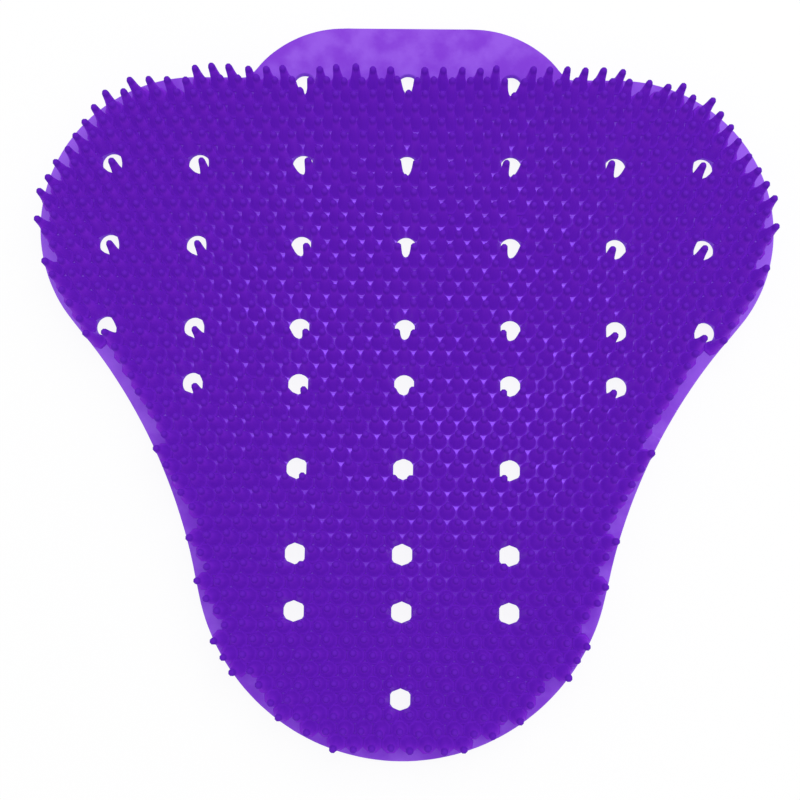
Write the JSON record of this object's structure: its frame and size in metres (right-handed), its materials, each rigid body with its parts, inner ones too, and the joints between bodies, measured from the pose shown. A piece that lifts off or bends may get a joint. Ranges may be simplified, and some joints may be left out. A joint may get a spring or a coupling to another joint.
{
  "type": "urinal deodorizer screen",
  "caption": "Flat flexible urinal screen with round shoulders, a lift tab, drain holes and close rows of tapered bristles against splash.",
  "frame": {"origin": "centre of the bounding box's base, on the plain underside that rests in the bowl", "axes": "+Z from the underside towards the bristle tips, +Y from the round end towards the lift tab, +X to the right seen from above with the tab at the top"},
  "size_m": [0.1894, 0.1884, 0.0145],
  "materials": {
    "screen": "satin, one soft plastic, deep purple in the bristles and lighter violet where the sheet lies bare"
  },
  "bodies": {
    "root": {"screen": "screen"}
  },
  "joints": []
}
